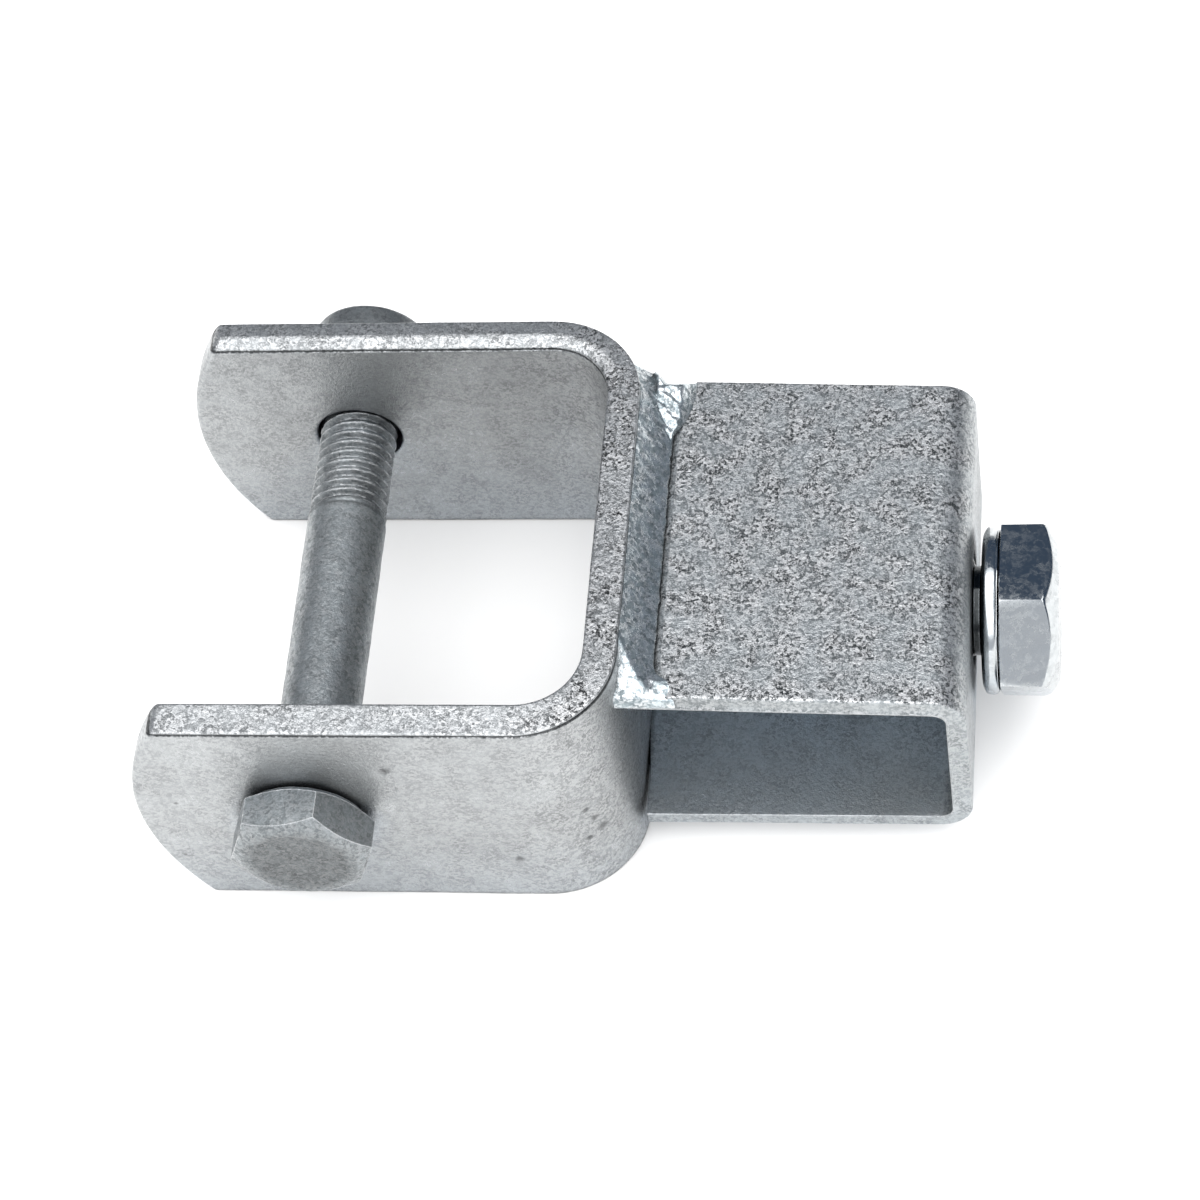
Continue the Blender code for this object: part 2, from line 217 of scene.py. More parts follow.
def cut(obj, cutter):
    """Takes the cutter's shape out of the object and removes the cutter."""
    modifier = obj.modifiers.new("Cut", "BOOLEAN")
    modifier.operation = "DIFFERENCE"
    modifier.object = cutter
    apply_modifiers(obj)
    bpy.data.objects.remove(cutter, do_unlink=True)


def wander(point, size, offset=0.0):
    """Smooth noise from -1 to 1 that changes over about size."""
    return noise.noise(Vector(point) / size + Vector((offset, 2 * offset, 3 * offset)))


def weather(obj, layers, dents=()):
    """Sinks the surface a little: layers are (size, depth) of waves, dents are (place, radius, depth)."""
    mesh = obj.data
    moved = []
    for vertex in mesh.vertices:
        depth = 0.0
        for number, (size, most) in enumerate(layers):
            depth += most * (0.5 + 0.5 * wander(vertex.co, size, 7.3 * number))
        for place, radius, most in dents:
            away = (vertex.co - place).length / radius
            if away < DENT_REACH:
                depth += most * math.exp(-away * away)
        moved.append(vertex.co - vertex.normal * depth)
    for vertex, place in zip(mesh.vertices, moved):
        vertex.co = place
    mesh.update()


def smooth_step(value):
    value = min(max(value, 0.0), 1.0)
    return value * value * (3 - 2 * value)


def soft_least(first, second, blend):
    """The smaller value, rounded where the two come within blend of each other."""
    apart = max(0.0, 1 - abs(first - second) / blend)
    return min(first, second) - blend * apart ** 2 / 4


# ---------------------------------------------------------------- bent strips

def path_point(moves, start, heading, distance):
    """Place and heading after a distance along moves, each (length, turn) with the turn spread over it."""
    place = Vector(start)
    for length, turn in moves:
        part = min(distance, length)
        rate = turn / length
        if abs(rate) < 1e-9:
            place = place + Vector((math.cos(heading), math.sin(heading))) * part
        else:
            after = heading + rate * part
            moved = Vector((math.sin(after) - math.sin(heading), math.cos(heading) - math.cos(after)))
            place = place + moved / rate
        heading += rate * part
        distance -= part
        if distance <= 0:
            break
    return place, heading


def strip_stations(moves, start, heading, side, step, end_rounding, reach):
    """Stations along a bent strip: side is +1 where its outer face lies left of the way it runs.

    Near each end a station shifts back by up to the end's own shape, and the last ones shrink to round it.
    """
    total = sum(length for length, _ in moves)
    end_steps = 4
    distances = []
    for index in range(end_steps):
        angle = math.pi / 2 * index / end_steps
        distances.append((end_rounding * (1 - math.cos(angle)), end_rounding * (1 - math.sin(angle))))
    middle_count = round((total - 2 * end_rounding) / step)
    for index in range(middle_count + 1):
        distances.append((end_rounding + (total - 2 * end_rounding) * index / middle_count, 0.0))
    for distance, inset in list(reversed(distances[:end_steps])):
        distances.append((total - distance, inset))
    stations = []
    for distance, inset in distances:
        place, turned = path_point(moves, start, heading, distance)
        ahead = Vector((math.cos(turned), math.sin(turned)))
        normal = Vector((-ahead.y, ahead.x)) * side
        at_start = max(0.0, 1 - distance / reach)
        at_end = max(0.0, 1 - (total - distance) / reach)
        stations.append(Station(place, normal, ahead * at_start - ahead * at_end, inset))
    return stations


def side_chain(half, low, high, low_radius, high_radius, face_steps, edge_steps=5, corner_steps=5):
    """Half a strip's section, from the middle of its low edge up one face to the middle of its high edge.

    Rows lie close together just under the high edge, where the crease runs.
    """
    fine = min(2.0 * MM, (high - low) / 4)
    fine_steps = 20
    bottom, top = low + low_radius, high - high_radius
    chain = [((half - low_radius) * i / edge_steps, low) for i in range(edge_steps)]
    for i in range(corner_steps):
        angle = math.pi / 2 * i / corner_steps
        across = half - low_radius * (1 - math.sin(angle))
        chain.append((across, low + low_radius * (1 - math.cos(angle))))
    for i in range(face_steps):
        chain.append((half, bottom + (top - fine - bottom) * i / face_steps))
    for i in range(fine_steps):
        chain.append((half, top - fine + fine * i / fine_steps))
    for i in range(corner_steps):
        angle = math.pi / 2 * i / corner_steps
        across = half - high_radius * (1 - math.cos(angle))
        chain.append((across, high - high_radius * (1 - math.sin(angle))))
    chain += [((half - high_radius) * (1 - i / edge_steps), high) for i in range(edge_steps + 1)]
    return chain


def bent_strip(name, stations, thickness, width, radii, face_steps, end_shape, place, material, worn=None):
    """A closed strip: radii round the outer and inner edges, end_shape(across, along) shapes its ends.

    worn(share, across, along) gives how far to move a point across and along, at a share of the
    strip's length.
    """
    least_radius = 0.1 * MM
    points = []
    for number, station in enumerate(stations):
        half = thickness / 2 - station.inset
        low, high = station.inset, width - station.inset
        chains = []
        for radius in radii:
            rounding = max(radius - station.inset, least_radius)
            chains.append(side_chain(half, low, high, rounding, rounding, face_steps))
        outer, inner = chains
        loop = outer + [(-across, along) for across, along in reversed(inner[1:-1])]
        for across, along in loop:
            if worn:
                aside, down = worn(number / (len(stations) - 1), across, along)
                across, along = across + aside, along + down
            flat = station.point + station.normal * across + station.shift * end_shape(across, along)
            points.append(place(flat.x, flat.y, along))
    count = len(points) // len(stations)
    faces = loft_faces(len(stations), count)
    half_count = len(outer)
    for base in (0, len(points) - count):
        for i in range(half_count - 1):
            corners = [i, i + 1, (count - i - 1) % count, (count - i) % count]
            unique = list(dict.fromkeys(corners))
            faces.append(tuple(base + corner for corner in unique))
    return mesh_object(name, points, faces, material)


def turned_cutter(name, profile, origin, direction, segments=96):
    """A solid of revolution from (height, radius) pairs along a direction, used to cut a hole."""
    turn = Vector(direction).to_track_quat("Z", "Y")
    points = []
    for height, radius in profile:
        for index in range(segments):
            angle = 2 * math.pi * index / segments
            local = Vector((radius * math.cos(angle), radius * math.sin(angle), height))
            points.append(Vector(origin) + turn @ local)
    faces = loft_faces(len(profile), segments)
    faces.append(tuple(range(segments)))
    faces.append(tuple(range(len(points) - segments, len(points))))
    return mesh_object(name, points, faces, STEEL_CORE)


def hole_profile(radius, face_a, face_b, flare):
    """A bore between two faces, opened out by flare where it meets each of them."""
    past = 2 * MM
    return [
        (face_a - past, radius + flare + past), (face_a + flare, radius),
        (face_b - flare, radius), (face_b + past, radius + flare + past),
    ]


# ---------------------------------------------------------------- turned pieces

def ring(radius, height):
    return np.column_stack([np.full(ROUND, float(radius)), np.full(ROUND, float(height))])


def hexagon(across_flats, corner=0.2 * MM):
    """Radius of a hexagon with rounded corners at each of ROUND angles: a flat faces angle 30 degrees."""
    angles = 2 * np.pi * np.arange(ROUND) / ROUND
    from_corner = np.abs((angles + np.pi / 6) % (np.pi / 3) - np.pi / 6)
    centre = (across_flats / 2 - corner) / math.cos(math.pi / 6)
    edge = math.atan2(corner * math.sin(math.pi / 6), centre + corner * math.cos(math.pi / 6))
    flat = across_flats / 2 / np.cos(np.pi / 6 - from_corner)
    inside = np.clip(corner ** 2 - (centre * np.sin(from_corner)) ** 2, 0, None)
    rounded = centre * np.cos(from_corner) + np.sqrt(inside)
    return np.where(from_corner < edge, rounded, flat)


def chamfered_hexagon(across_flats, face_height, into, share=NUT_FACE_SHARE, softness=0.04 * MM):
    """Rings from a hexagon's round end face over its chamfer to its sides.

    into is +1 if the sides lie above the face. The edge between chamfer and sides is rounded by softness,
    and the last ring lies on the sides, so that their shading stays flat.
    """
    outline = hexagon(across_flats)
    face_radius = share * across_flats / 2
    drop = (outline - face_radius) * HEX_CHAMFER
    rings = []
    for part in (0.0, 0.3, 0.65):
        radius = face_radius + (outline - softness - face_radius) * part
        rings.append(np.column_stack([radius, face_height + into * (radius - face_radius) * HEX_CHAMFER]))
    rounded_edge = ((1.0, -HEX_CHAMFER), (0.55, -0.1), (0.2, 0.3), (0.0, 1.0), (0.0, 2.5))
    for inward, down in rounded_edge:
        height = face_height + into * (drop + softness * down)
        rings.append(np.column_stack([outline - softness * inward, height]))
    return rings


def end_face(radius, height, away, dish=0.15 * MM):
    """Rings from near the middle out to the edge of a round face, sunk a little inside its rim."""
    rim, rim_fade = 0.93, 0.12
    rings = []
    for share in (0.03, 0.3, 0.6, 0.8, 0.86, 0.92, 1.0):
        sunk = dish * smooth_step((rim - share) / rim_fade)
        rings.append(ring(radius * share, height - away * sunk))
    return rings


def thread(start, end, pitch, major, shank=None, clogged=0.0):
    """Rings of a right-hand thread. With a shank, the thread runs out to that diameter at its start.

    clogged is the share of its depth that zinc fills.
    """
    depth = THREAD_DEPTH * pitch * (1 - clogged)
    turns = (end - start) / pitch
    heights = np.linspace(start, end, round(turns * THREAD_RINGS_PER_TURN) + 1)
    around = np.arange(ROUND) / ROUND
    rings = []
    for height in heights:
        phase = (height / pitch - around) % 1
        from_crest = np.abs(phase - 0.5) * 2
        profile = np.clip((from_crest - CREST) / FLANK, 0, 1)
        profile = profile * profile * (3 - 2 * profile) * ROOT_ROUNDING + profile * (1 - ROOT_ROUNDING)
        radius = major / 2 - depth * profile
        if shank:
            share = smooth_step((height - start) / (RUN_OUT_TURNS * pitch))
            radius = shank / 2 + (radius - shank / 2) * share
        to_end = max(end - height, 0.0)
        if to_end < depth:
            radius = np.minimum(radius, major / 2 - depth + to_end - 0.1 * MM)
        rings.append(np.column_stack([radius, np.full(ROUND, height)]))
    return rings


def turned(name, rings, origin, direction, turn, material, bored=False, sharp=35):
    """A piece from (radius, height) rings about an axis, closed by caps unless bored."""
    angles = 2 * np.pi * np.arange(ROUND) / ROUND
    stacked = np.concatenate([
        np.column_stack([r[:, 0] * np.cos(angles), r[:, 0] * np.sin(angles), r[:, 1]]) for r in rings
    ])
    aim = Vector(direction).to_track_quat("Z", "Y").to_matrix().to_4x4()
    matrix = np.array(Matrix.Translation(origin) @ aim @ Matrix.Rotation(turn, 4, "Z"))
    points = stacked @ matrix[:3, :3].T + matrix[:3, 3]
    faces = loft_faces(len(rings), ROUND, bored)
    if not bored:
        faces.append(tuple(range(ROUND)))
        faces.append(tuple(range(len(points) - ROUND, len(points))))
    return mesh_object(name, points, faces, material, sharp)


# ---------------------------------------------------------------- materials

# Zinc: width of the worn edges with their painted highlight, the painted blue light on shaded recesses, and
# how far from a surface they are felt
EDGE_WEAR_AND_HIGHLIGHT_WIDTH = 0.28 * MM
PAINTED_RECESS_LIGHT = (1.33, 1.44, 1.58, 1)
PAINTED_RECESS_LIGHT_REACH = 40 * MM

# Zinc's masks: the values of their noise, openness or angle from which and to which they change
CLOUDS = (0.6, 1.0)
PATCHES = (0.38, 0.62)
SPECKS = (0.69, 1.05)
EDGE_WEAR_AND_HIGHLIGHT_GRAINS = (0.35, 0.6)
PAINTED_SHADE_OPENNESS = (0.22, 0.68)
PAINTED_RECESS_LIGHT_OPENNESS = (0.15, 0.48)
SHARP = (0.995, 0.92)
FACING_UP = (0.3, 0.9)
FACING_NEAR = (-0.97, -0.85)

# The crystals' contrast: its share in smooth patches and on steep surfaces, and its growth towards the web
SMOOTH_SPECKLE = 0.5
STEEP_SPECKLE = 0.36
WEB_SPECKLE = 1.7
WEB_SPECKLE_X = (-16 * MM, -4 * MM)


def add_node(tree, kind, inputs=None, **settings):
    """A node with its settings, and inputs given as values or as the sockets that feed them."""
    made = tree.nodes.new(kind)
    for name, value in settings.items():
        setattr(made, name, value)
    for name, value in (inputs or {}).items():
        if isinstance(value, bpy.types.NodeSocket):
            tree.links.new(value, made.inputs[name])
        else:
            made.inputs[name].default_value = value
    return made


def noise_value(tree, coordinates, size, detail=3.0, roughness=0.55, distortion=0.0):
    """Noise from 0 to 1 whose features are about size across."""
    made = add_node(tree, "ShaderNodeTexNoise", {
        "Vector": coordinates, "Scale": 1 / size, "Detail": detail,
        "Roughness": roughness, "Distortion": distortion,
    })
    return made.outputs["Fac"]


def remap(tree, value, low, high, to_low=0.0, to_high=1.0):
    made = add_node(tree, "ShaderNodeMapRange", {
        "Value": value, "From Min": low, "From Max": high, "To Min": to_low, "To Max": to_high,
    })
    return made.outputs["Result"]


def calculate(tree, operation, first, second):
    made = add_node(tree, "ShaderNodeMath", {0: first, 1: second}, operation=operation)
    return made.outputs["Value"]


def mix_colour(tree, share, first, second, blend="MIX"):
    made = add_node(tree, "ShaderNodeMix", data_type="RGBA", blend_type=blend)
    for index, value in ((0, share), (6, first), (7, second)):
        if isinstance(value, bpy.types.NodeSocket):
            tree.links.new(value, made.inputs[index])
        else:
            made.inputs[index].default_value = value
    return made.outputs[2]


def grey(level, blue=0.0):
    """A grey of some level, cooler the more blue it has."""
    return (level * (1 - 1.4 * blue), level, level * (1 + 0.6 * blue), 1)


def openness(tree, distance):
    """1 where nothing stands within a distance of the surface, falling to 0 in crevices."""
    made = add_node(tree, "ShaderNodeAmbientOcclusion", {"Distance": distance}, samples=RAY_SAMPLES)
    return made.outputs["AO"]


def edge_mask(tree, radius):
    """1 on edges, fading to 0 at about radius from them."""
    rounded = add_node(tree, "ShaderNodeBevel", {"Radius": radius}, samples=RAY_SAMPLES).outputs["Normal"]
    true = add_node(tree, "ShaderNodeNewGeometry").outputs["Normal"]
    alike = add_node(tree, "ShaderNodeVectorMath", {0: rounded, 1: true}, operation="DOT_PRODUCT")
    return remap(tree, alike.outputs["Value"], *SHARP)


def voronoi(tree, place, size):
    return add_node(tree, "ShaderNodeTexVoronoi", {"Vector": place, "Scale": 1 / size, "Randomness": 1.0})


def level_share(tree, height, facing_up, above):
    """1 on surfaces that face up and lie above a height, 0 elsewhere."""
    raised = remap(tree, height, above - 1 * MM, above)
    return calculate(tree, "MULTIPLY", remap(tree, facing_up, *FACING_UP), raised)


def pit_mask(tree, place, dents):
    """1 in sparse pits that come in clusters and in the middle of each dent, 0 elsewhere."""
    clusters = remap(tree, noise_value(tree, place, 14 * MM, 1), 0.5, 0.6)
    pit = remap(tree, voronoi(tree, place, 6 * MM).outputs["Distance"], 0.03, 0.08, 1.0, 0.0)
    pit = calculate(tree, "MULTIPLY", pit, clusters)
    for centre, radius, _ in dents:
        away = add_node(tree, "ShaderNodeVectorMath", {0: place, 1: centre}, operation="DISTANCE")
        spot = remap(tree, away.outputs["Value"], 0.5 * radius, 1.2 * radius, 0.9, 0.0)
        pit = calculate(tree, "MAXIMUM", pit, spot)
    return pit


def speckle_amount(tree, speckle, patches, along, facing, level_above, coarser_at_web):
    """How strongly the crystals show: more in some patches, and on level or web-side parts if asked."""
    amount = remap(tree, patches, *PATCHES, speckle, speckle * SMOOTH_SPECKLE)
    if level_above is not None:
        level = level_share(tree, along["Z"], facing["Z"], level_above)
        amount = calculate(tree, "MULTIPLY", amount, remap(tree, level, 0, 1, STEEP_SPECKLE, 1.0))
    if coarser_at_web:
        coarser = remap(tree, along["X"], *WEB_SPECKLE_X, 1.0, WEB_SPECKLE)
        amount = calculate(tree, "MULTIPLY", amount, coarser)
    return amount


def shade_head_face(tree, coloured, place, facing_y, shade):
    """Darkens the clevis bolt's end face inside its raised rim."""
    rim_inside, rim_outside, rim_shade = 6.6 * MM, 7.8 * MM, 0.8
    flat = add_node(tree, "ShaderNodeVectorMath", {0: place, 1: (1, 0, 1)}, operation="MULTIPLY")
    centre = (CLEVIS_AXIS.x, 0, CLEVIS_AXIS.z)
    away = add_node(tree, "ShaderNodeVectorMath", {0: flat.outputs[0], 1: centre}, operation="DISTANCE")
    ringed = remap(tree, away.outputs["Value"], rim_inside, rim_outside, shade, rim_shade)
    end = remap(tree, facing_y, *FACING_NEAR, 1.0, 0.0)
    return mix_colour(tree, end, coloured, mix_colour(tree, 1.0, coloured, ringed, "MULTIPLY"))


def paint_band_shade(tree, coloured, along, axis, centre, half_width, shade):
    """Darkens the part that lies within half_width of a centre along an axis: painted shade, on the clevis
    bolt mixed with darker zinc.
    """
    off = calculate(tree, "ABSOLUTE", calculate(tree, "SUBTRACT", along[axis], centre), 0.0)
    banded = remap(tree, off, half_width - 0.5 * MM, half_width, shade, 1.0)
    return mix_colour(tree, 1.0, coloured, banded, "MULTIPLY")


def painted_crease_shade(tree, along_z, crease_z, grains):
    """A ragged line of painted shade in a crease: nearly 1 at a height and 0 a little away from it."""
    core, edge = 0.22 * MM, 0.36 * MM
    off = calculate(tree, "ABSOLUTE", calculate(tree, "SUBTRACT", along_z, crease_z), 0.0)
    ragged = calculate(tree, "MULTIPLY", calculate(tree, "SUBTRACT", grains, 0.5), 0.5 * MM)
    return remap(tree, calculate(tree, "ADD", off, ragged), core, edge, 0.9, 0.0)


def zinc(
    name, *, light, dark, roughness, grain, grain_depth, speckle, cloud=9 * MM, metallic=0.9, blue=0.03,
    pits=1.0, level_above=None, edge_wear_and_highlight=0.5, edge_wear_and_highlight_level=1.4, painted_shade_reach=2.2 * MM, end_shade=None, dark_zinc_and_shade_band=None,
    dents=(), crease_z=None, coarser_at_web=False,
):
    """Galvanised metal: clouds of lighter and darker zinc, a grain of crystals, sparse pits, and worn edges
    with a painted highlight.

    light and dark are the clouds' levels, grain is the crystals' size, grain_depth their relief and speckle
    their contrast. Crevices about as wide as painted_shade_reach get painted shade, and recesses get painted
    blue light. With level_above, the speckle shows fully on level surfaces above that height, and less
    elsewhere. end_shade darkens the clevis bolt's end face, dark_zinc_and_shade_band is a darker (axis,
    centre, half width, shade) of painted shade, mixed with darker zinc on the bolt, and a line of painted
    shade runs round the piece at crease_z.
    """
    material = bpy.data.materials.new(name)
    material.use_nodes = True
    tree = material.node_tree
    shader = tree.nodes["Principled BSDF"]
    texture = add_node(tree, "ShaderNodeTexCoord").outputs
    place, normal = texture["Object"], texture["Normal"]
    along = add_node(tree, "ShaderNodeSeparateXYZ", {0: place}).outputs
    facing = add_node(tree, "ShaderNodeSeparateXYZ", {0: normal}).outputs
    clouds = noise_value(tree, place, cloud, 4, 0.6, 0.4)
    patches = noise_value(tree, place, cloud / 3.1, 3, 0.5)
    grains = noise_value(tree, place, grain, 3, 0.7)
    pores = noise_value(tree, place, grain / 2.2, 2, 0.7)
    cells = voronoi(tree, place, 0.85 * grain).outputs["Color"]
    crystal = add_node(tree, "ShaderNodeSeparateColor", {0: cells})

    # Clouds with crystals over them
    broad = calculate(tree, "ADD", clouds, calculate(tree, "MULTIPLY", patches, 0.6))
    broad = remap(tree, broad, *CLOUDS)
    base = mix_colour(tree, broad, grey(dark, blue), grey(light, blue))
    mixed = calculate(tree, "MULTIPLY", crystal.outputs[0], 0.45)
    mixed = calculate(tree, "ADD", mixed, calculate(tree, "MULTIPLY", pores, 1.3))
    speck = remap(tree, mixed, *SPECKS)
    grainy = mix_colour(tree, speck, grey(dark * 0.10, blue * 1.5), grey(min(light * 1.5, 0.92)))
    amount = speckle_amount(tree, speckle, patches, along, facing, level_above, coarser_at_web)
    tinted = mix_colour(tree, amount, base, grainy)

    # Pits, the darker end face, and a band of painted shade and darker zinc
    pit = calculate(tree, "MULTIPLY", pit_mask(tree, place, dents), pits)
    coloured = mix_colour(tree, calculate(tree, "MULTIPLY", pit, 0.75), tinted, grey(dark * 0.2, blue))
    if end_shade is not None:
        coloured = shade_head_face(tree, coloured, place, facing["Y"], end_shade)
    if dark_zinc_and_shade_band:
        coloured = paint_band_shade(tree, coloured, along, *dark_zinc_and_shade_band)

    # Edges worn bright with a painted highlight, painted blue light in shaded recesses, and painted shade in
    # crevices
    edges = remap(tree, grains, *EDGE_WEAR_AND_HIGHLIGHT_GRAINS, 0.4 * edge_wear_and_highlight, edge_wear_and_highlight)
    edges = calculate(tree, "MULTIPLY", edge_mask(tree, EDGE_WEAR_AND_HIGHLIGHT_WIDTH), edges)
    wear_and_painted_light = mix_colour(tree, edges, coloured, grey(min(light * edge_wear_and_highlight_level, 0.9), 0.01))
    # Painted light: recesses far from open space are lifted towards blue, as if lit by blue bounced light
    painted_recess_light = remap(tree, openness(tree, PAINTED_RECESS_LIGHT_REACH), *PAINTED_RECESS_LIGHT_OPENNESS, 1.0, 0.0)
    wear_and_painted_light = mix_colour(tree, painted_recess_light, wear_and_painted_light, PAINTED_RECESS_LIGHT, "MULTIPLY")
    # Painted shade: crevices turn nearly black, as they would in shadow
    painted_shade_mask = remap(tree, openness(tree, painted_shade_reach), *PAINTED_SHADE_OPENNESS, 0.94, 0.0)
    # Painted shade along the strip's crease
    if crease_z is not None:
        painted_shade_mask = calculate(tree, "MAXIMUM", painted_shade_mask, painted_crease_shade(tree, along["Z"], crease_z, grains))
    with_painted_shade = mix_colour(tree, painted_shade_mask, wear_and_painted_light, grey(dark * 0.08, 0.05))
    tree.links.new(with_painted_shade, shader.inputs["Base Color"])

    # Shine and relief
    shine = remap(tree, speck, 0, 1, roughness + 0.09, roughness - 0.05)
    shine = calculate(tree, "ADD", shine, remap(tree, broad, 0, 1, 0.05, -0.03))
    shine = calculate(tree, "SUBTRACT", shine, calculate(tree, "MULTIPLY", edges, 0.1))
    tree.links.new(shine, shader.inputs["Roughness"])
    shader.inputs["Metallic"].default_value = metallic
    height = calculate(tree, "ADD", grains, calculate(tree, "MULTIPLY", pores, 0.35))
    height = calculate(tree, "SUBTRACT", height, calculate(tree, "MULTIPLY", pit, 0.5))
    bump = add_node(tree, "ShaderNodeBump", {"Height": height, "Strength": 1.0, "Distance": grain_depth})
    tree.links.new(bump.outputs["Normal"], shader.inputs["Normal"])
    return material


STEEL_CORE = bpy.data.materials.new("cutter")

strip_zinc = zinc(
    "galvanised strip", light=0.365, dark=0.29, roughness=0.34,
    grain=0.50 * MM, grain_depth=0.10 * MM, speckle=0.62,
    blue=0.025, level_above=20 * MM, edge_wear_and_highlight=0.3, dents=FORK_DENTS, crease_z=CREASE_Z, coarser_at_web=True,
)
sheet_zinc = zinc(
    "galvanised sheet", light=0.37, dark=0.265, roughness=0.36,
    grain=0.50 * MM, grain_depth=0.10 * MM, speckle=0.95,
    cloud=12 * MM, blue=0.05, pits=0.5, level_above=34 * MM,
)
weld_zinc = zinc(
    "zinc on weld metal", light=0.48, dark=0.35, roughness=0.27,
    grain=0.8 * MM, grain_depth=0.07 * MM, speckle=0.6,
    cloud=5 * MM, blue=0.10, pits=0.0, edge_wear_and_highlight=0.3,
)
# The clevis bolt's thread is darker: partly darker zinc, partly painted shade towards the far arm
bolt_thread_middle = CLEVIS_HIGH.y - CLEVIS_THREAD_LENGTH / 2
bolt_zinc = zinc(
    "dull zinc bolt", light=0.26, dark=0.17, roughness=0.35,
    grain=0.55 * MM, grain_depth=0.08 * MM, speckle=0.36,
    cloud=4 * MM, metallic=0.8, blue=0.06, pits=0.0, edge_wear_and_highlight=1.0, edge_wear_and_highlight_level=2.6, end_shade=0.5,
    dark_zinc_and_shade_band=("Y", bolt_thread_middle, CLEVIS_THREAD_LENGTH / 2, 0.72),
)
nut_zinc = zinc(
    "dull zinc nut", light=0.18, dark=0.12, roughness=0.36,
    grain=0.55 * MM, grain_depth=0.06 * MM, speckle=0.32,
    cloud=4 * MM, metallic=0.8, blue=0.06, pits=0.0, edge_wear_and_highlight=0.7, edge_wear_and_highlight_level=2.2,
)
# Painted shade on the screw's neck, and painted crevice shade reaching 5 mm, keep the gap between its collar
# and the channel's wall dark
screw_neck = SCREW_HIGH.x - SCREW_HEAD_HEIGHT - 0.9 * MM
screw_zinc = zinc(
    "bright zinc screw", light=0.50, dark=0.44, roughness=0.17,
    grain=1.2 * MM, grain_depth=0.003 * MM, speckle=0.12,
    cloud=6 * MM, metallic=1.0, blue=0.03, pits=0.3, edge_wear_and_highlight=0.9, painted_shade_reach=5 * MM,
    dark_zinc_and_shade_band=("X", screw_neck, 1.0 * MM, 0.06),
)


# ---------------------------------------------------------------- fork

def make_fork():
    middle = FORK_BEND_RADIUS + STRIP_THICKNESS / 2
    bend_x = FORK_HIGH.x - STRIP_THICKNESS - FORK_BEND_RADIUS
    arm = bend_x - FORK_LOW.x
    web = 2 * (FORK_HIGH.y - STRIP_THICKNESS / 2 - middle)
    quarter = middle * math.pi / 2
    moves = [(arm, 0), (quarter, math.pi / 2), (web, 0), (quarter, math.pi / 2), (arm, 0)]
    start = (FORK_LOW.x, FORK_LOW.y + STRIP_THICKNESS / 2)
    stations = strip_stations(moves, start, 0, -1, 0.7 * MM, 1.1 * MM, 0.9 * arm)

    def tip(across, along):
        return TIP_RADIUS - math.sqrt(TIP_RADIUS ** 2 - (along - STRIP_WIDTH / 2) ** 2)

    def worn(share, across, along):
        """Wear of the upper edge, with a crease just under it along the near arm's and bend's outer face
        and the far arm's inner one.

        The edge leans to the front on the near arm, and on the far arm it is bevelled inside and falls away
        outside.
        """
        near = 1 - smooth_step((share - NEAR_WEAR_END) / NEAR_WEAR_FADE)
        far = smooth_step((share - FAR_WEAR_START) / FAR_WEAR_FADE)
        inner = max(0.0, RIDGE - across)
        outer = max(0.0, across - RIDGE)
        lean = (across + STRIP_THICKNESS / 2) * math.tan(EDGE_LEAN) * near
        bevel = inner * math.tan(EDGE_BEVEL) * (WEB_BEVEL + (1 - WEB_BEVEL) * far) * (1 - near)
        fall = outer * math.tan(EDGE_LEAN) * far
        top = smooth_step((along - STRIP_WIDTH + WEAR_REACH) / WEAR_FADE)
        crease = math.exp(-((along - STRIP_WIDTH + CREASE_DROP) / CREASE_WIDTH) ** 2)
        if across > 0:
            depth = CREASE_NEAR + CREASE_EXTRA_IN_BEND * smooth_step((share - 0.20) / 0.08)
            aside = -crease * depth * near
        else:
            aside = crease * CREASE_FAR * far
        return aside, -(lean + bevel + fall) * top

    fork = bent_strip(
        "fork_strip", stations, STRIP_THICKNESS, STRIP_WIDTH, STRIP_EDGE_RADII, 56, tip,
        lambda x, y, along: (x, y, along), strip_zinc, worn,
    )
    weather(fork, ((14 * MM, 0.12 * MM), (3 * MM, 0.05 * MM)), FORK_DENTS)
    inner, outer = FORK_HIGH.y - STRIP_THICKNESS, FORK_HIGH.y
    for low, high in ((inner, outer), (-outer, -inner)):
        profile = hole_profile(CLEVIS_HOLE_RADIUS, low, high, 0.35 * MM)
        cut(fork, turned_cutter("hole", profile, CLEVIS_HOLE, (0, 1, 0)))
    return fork


# ---------------------------------------------------------------- channel

def top_leg_z(x):
    """Height of the channel's top face at x."""
    outer = SHEET_BEND_RADIUS + SHEET
    bend_x = CHANNEL_HIGH.x - outer
    bend_z = CHANNEL_HIGH.z - outer - (bend_x - CHANNEL_LOW.x) * math.tan(TOP_LEG_SPLAY)
    return bend_z + outer + (bend_x - x) * math.tan(TOP_LEG_SPLAY)


def prep_length(y):
    """How far the top leg's upper edge stands off the web, for the weld to fill: more towards both ends."""
    far = smooth_step((y - 17 * MM) / (10 * MM))
    near = smooth_step((-20.5 * MM - y) / (6 * MM))
    ragged = 0.16 * MM * wander((0, y, 0), 2.2 * MM) + 0.10 * MM * wander((0, y, 5), 0.8 * MM)
    return WELD_PREP + 1.9 * MM * far + 2.0 * MM * near + ragged


